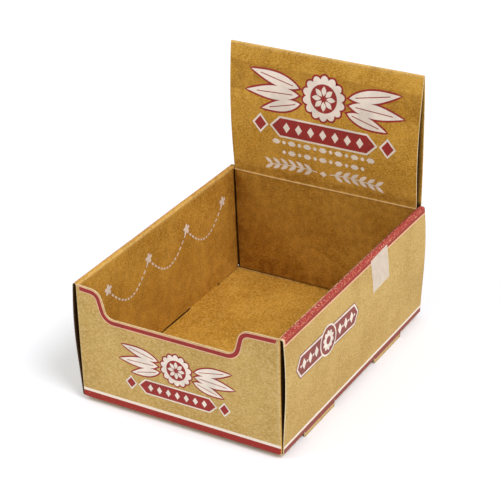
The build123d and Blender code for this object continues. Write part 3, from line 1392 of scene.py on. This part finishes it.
@dataclass(frozen=True)
class Ticket:
    """A long plaque with a flower in a ring at its middle, and diamonds and dots on both sides."""

    middle: Point
    size: Place = (66.0, 12.4, 4.0)
    rim: float = 0.5
    inset: float = 1.1
    ring_radius: float = 8.6
    ground_radius: float = 7.6
    flower_radius: float = 5.6
    petals: int = 10
    notch: float = 1.5
    eye_radius: float = 2.2
    diamonds_aside: int = 3
    first_diamond: float = 12.5
    pitch: float = 6.4
    diamond_size: Point = (4.2, 6.4)
    dot_away: float = 3.2
    dot_radius: float = 0.7

    def draw(self, art: Artwork) -> None:
        """Draw the plaque, one layer over the other in rose and cream by turns.

        Args:
            art: Design to add to.
        """
        x, height = self.middle
        ticket = plaque(self.middle, *self.size)
        flower = rosette(self.middle, self.flower_radius, self.petals, self.notch)
        radii = (self.ring_radius, self.ground_radius, self.eye_radius)
        ring, ground, eye = (disc(self.middle, radius) for radius in radii)
        layers = (grown(ticket, self.rim), ticket, grown(ticket, -self.inset), ring, ground, flower, eye)
        for layer, shape in enumerate(layers):
            art.put(Ink.CREAM if layer % 2 else Ink.ROSE, layer, shape)
        for side in (-1, 1):
            for i in range(self.diamonds_aside):
                place = x + side * (self.first_diamond + self.pitch * i)
                dot = disc((place + side * self.dot_away, height), self.dot_radius)
                art.put(Ink.CREAM, layers.index(ring), diamond((place, height), *self.diamond_size))
                art.put(Ink.CREAM, layers.index(ring), dot)


@dataclass(frozen=True)
class Garland:
    """A dashed garland in swags with a star at each place that it hangs from."""

    front: float = -54.0
    rear: float = 62.0
    height: float = 52.0
    dip: float = 13.0
    swags: int = 3
    dashes: int = 42
    dash_share: float = 0.58
    dash_steps: int = 4
    dash_half: float = 0.55
    star_height: float = 53.2
    star_radius: float = 3.2
    star_points: int = 5
    star_notch: float = 1.7

    @property
    def span(self) -> float:
        """Length of a swag."""
        return (self.rear - self.front) / self.swags

    def at(self, share: float) -> Point:
        """Give a place on the garland, from zero at its front end to one at its rear end."""
        run = (self.rear - self.front) * share
        return self.front + run, self.height - self.dip * sin(pi * (run % self.span) / self.span)

    def draw(self, art: Artwork) -> None:
        """Draw the dashes and the stars.

        Args:
            art: Design to add to.
        """
        shares = [self.dash_share * k / self.dash_steps for k in range(self.dash_steps + 1)]
        for i in range(self.dashes):
            dash = [self.at((i + share) / self.dashes) for share in shares]
            art.put(Ink.CREAM, 0, stroke(dash, -self.dash_half, self.dash_half))
        for i in range(self.swags + 1):
            spot = (self.front + self.span * i, self.star_height)
            art.put(Ink.CREAM, 1, rosette(spot, self.star_radius, self.star_points, self.star_notch))


Motif = Border | Sunburst | Beads | Sprigs | Ticket | Garland


@dataclass(frozen=True)
class PressSheet:
    """All the print of the box apart from the bands of its foot and heads."""

    sizes: BoxSizes
    inks: tuple[Ink, ...] = (Ink.RED, Ink.CREAM, Ink.ROSE, Ink.BLUSH)
    header_middle: Point = (0.8, 122.0)
    sprig_height: float = 77.0
    front_middle: Point = (-0.5, 34.5)
    front_scale: float = 0.7
    ticket_ahead: float = 36.0
    ticket_height: float = 46.5
    off_share: float = 1.5         # print is laid along rays that start this far out, by the half size
    header_share: float = 0.5
    reach_share: float = 0.6       # how far those rays reach

    def layout(self) -> list[tuple[Panel, list[Motif]]]:
        """Lay out the motifs.

        Returns:
            Each panel with its motifs.
        """
        s = self.sizes
        ahead = (0, -self.off_share * s.half_depth, 0)
        inside = (0, self.header_share * s.half_depth, 0)
        deep, wide = self.reach_share * s.half_depth, self.reach_share * s.half_width
        header_x = self.header_middle[0]
        header = [Sunburst(self.header_middle), Beads(header_x), Sprigs((header_x, self.sprig_height))]
        sheet = [(Panel("front_border", ahead, RIGHT, REAR, deep), [Border(s)]),
                 (Panel("header", inside, RIGHT, REAR, deep), header),
                 (Panel("front", ahead, RIGHT, REAR, deep), [Sunburst(self.front_middle, self.front_scale)])]
        for name, side in (("right_wall", 1), ("left_wall", -1)):
            beside = (self.off_share * side * s.half_width, 0, 0)
            ticket = Ticket((-side * self.ticket_ahead, self.ticket_height))
            sheet.append((Panel(name, beside, (0, side, 0), (-side, 0, 0), wide), [ticket]))
        sheet.append((Panel("lining", (0, 0, 0), REAR, LEFT, s.half_width), [Garland()]))
        return sheet

    def build(self, board: Piece) -> list[Piece]:
        """Print everything on the dressed board.

        Args:
            board: The dressed board.

        Returns:
            The printed pieces.
        """
        points = [vert.co for vert in board.data.vertices]
        tree = BVHTree.FromPolygons(points, [face.vertices[:] for face in board.data.polygons])
        inks = {ink: FlexoInk(ink).build() for ink in self.inks}
        pieces = []
        for panel, motifs in self.layout():
            art = Artwork(panel)
            for motif in motifs:
                motif.draw(art)
            pieces += art.build(tree, inks)
        return pieces


@dataclass(frozen=True)
class Studio:
    """White table under plain soft light, and the camera at the photograph's angle."""

    table_m: float = 8.0
    table_tone: str = "#F6F6F6"
    glow_tone: str = "#DDEFFF"
    glow: float = 0.16
    shade_mm: float = 10.0
    sky: float = 0.53
    sun_from: Place = (0.60, -0.14, 0.79)
    sun_strength: float = 1.92
    sun_tone: str = "#FAF9FF"
    sun_degrees: float = 30.0
    fill_mm: Place = (-380.0, -440.0, 480.0)
    fill_side_mm: float = 300.0
    fill_watts: float = 0.95
    image_side: int = 500
    focal_px: float = 1712.3
    sensor_mm: float = 36.0
    azimuth: float = 30.727
    elevation: float = 28.020
    roll: float = -1.687
    eye_mm: Place = (404.33, -685.22, 488.60)
    clip_m: Point = (0.05, 20.0)

    def seen(self, tree: Tree) -> Link:
        """Add a mask of the rays that show the background.

        Args:
            tree: Node tree to add to.

        Returns:
            A mask that is one for camera, glossy and transmission rays.
        """
        rays = add_node(tree, "ShaderNodeLightPath").outputs
        mask = rays["Is Camera Ray"]
        for kind in ("Is Glossy Ray", "Is Transmission Ray"):
            inputs = {0: mask, 1: rays[kind]}
            mask = add_node(tree, "ShaderNodeMath", inputs, operation="MAXIMUM")
        return mask

    def world(self) -> None:
        """Light the scene from all round, with a white background."""
        world = bpy.data.worlds.new("studio")
        world.use_nodes = True
        tree = world.node_tree
        tree.nodes.clear()
        inputs = {0: self.seen(tree), 1: 1.0 - self.sky, 2: self.sky}
        strength = add_node(tree, "ShaderNodeMath", inputs, operation="MULTIPLY_ADD")
        back = add_node(tree, "ShaderNodeBackground", {"Color": (1.0, 1.0, 1.0, 1.0), "Strength": strength})
        add_node(tree, "ShaderNodeOutputWorld", {"Surface": back})
        bpy.context.scene.world = world

    def table(self) -> None:
        """Lay the table: matt white laminate that keeps the box's shadow; its glow fades near the box as
        painted shade.
        """
        half = self.table_m / 2
        mesh = bpy.data.meshes.new("table")
        corners = [(x * half, y * half, 0) for x, y in ((-1, -1), (1, -1), (1, 1), (-1, 1))]
        mesh.from_pydata(corners, [], [(0, 1, 2, 3)])
        material, tree = new_material("laminate_matt_white")
        matt = add_node(tree, "ShaderNodeBsdfDiffuse", {"Color": linear(self.table_tone)})
        # the glow fades within this reach of the box: painted shade round its foot
        near = add_node(tree, "ShaderNodeAmbientOcclusion", {"Distance": self.shade_mm * MM}).outputs["AO"]
        strength = self.seen(tree)
        for share in (near, self.glow):
            inputs = {0: strength, 1: share}
            strength = add_node(tree, "ShaderNodeMath", inputs, operation="MULTIPLY")
        inputs = {"Color": linear(self.glow_tone), "Strength": strength}
        glow = add_node(tree, "ShaderNodeEmission", inputs)
        both = add_node(tree, "ShaderNodeAddShader", {0: matt, 1: glow})
        add_node(tree, "ShaderNodeOutputMaterial", {"Surface": both})
        mesh.materials.append(material)
        table = bpy.data.objects.new("table", mesh)
        bpy.context.scene.collection.objects.link(table)

    def lamps(self) -> None:
        """Hang one broad soft lamp far off to the right, and a weak one near the front on the left."""
        softbox, fill = bpy.data.lights.new("softbox", "SUN"), bpy.data.lights.new("fill", "AREA")
        softbox.energy = self.sun_strength
        softbox.color = linear(self.sun_tone)[:3]
        softbox.angle = radians(self.sun_degrees)
        fill.energy = self.fill_watts
        fill.size = self.fill_side_mm * MM
        for lamp, place in ((softbox, Vector(self.sun_from)), (fill, Vector(self.fill_mm) * MM)):
            holder = bpy.data.objects.new(lamp.name, lamp)
            holder.location = place
            holder.rotation_mode = "QUATERNION"
            holder.rotation_quaternion = (-place).to_track_quat("-Z", "Y")
            bpy.context.scene.collection.objects.link(holder)

    def camera(self) -> None:
        """Set the camera where the photograph was taken from."""
        data = bpy.data.cameras.new("camera")
        data.sensor_width = self.sensor_mm
        data.lens = self.sensor_mm * self.focal_px / self.image_side
        data.clip_start, data.clip_end = self.clip_m
        camera = bpy.data.objects.new("camera", data)
        turn, rise, tilt = radians(self.azimuth), radians(self.elevation), radians(self.roll)
        back = Vector((sin(turn) * cos(rise), -cos(turn) * cos(rise), sin(rise)))
        level = Vector((cos(turn), sin(turn), 0.0))
        up = back.cross(level)
        right = level * cos(tilt) + up * sin(tilt)
        axes = Matrix((right, up * cos(tilt) - level * sin(tilt), back)).transposed()
        camera.matrix_world = Matrix.Translation(Vector(self.eye_mm) * MM) @ axes.to_4x4()
        bpy.context.scene.collection.objects.link(camera)
        bpy.context.scene.camera = camera

    def build(self) -> None:
        """Set up table, light and camera."""
        self.world()
        self.table()
        self.lamps()
        self.camera()
        bpy.context.scene.view_settings.view_transform = "Standard"


def main() -> None:
    """Build the pieces in order, then the studio."""
    logging.basicConfig(level=logging.INFO, format="%(name)s: %(message)s")
    sizes, warp = BoxSizes(), Warp()
    board = FoldedBoard(sizes, warp).build()
    tape = TapePiece(sizes, warp).build()
    for piece in (board, tape, *PressSheet(sizes).build(board)):
        log.info("%s: %d faces", piece.name, len(piece.data.polygons))
    Studio().build()


if __name__ == "__main__":
    main()
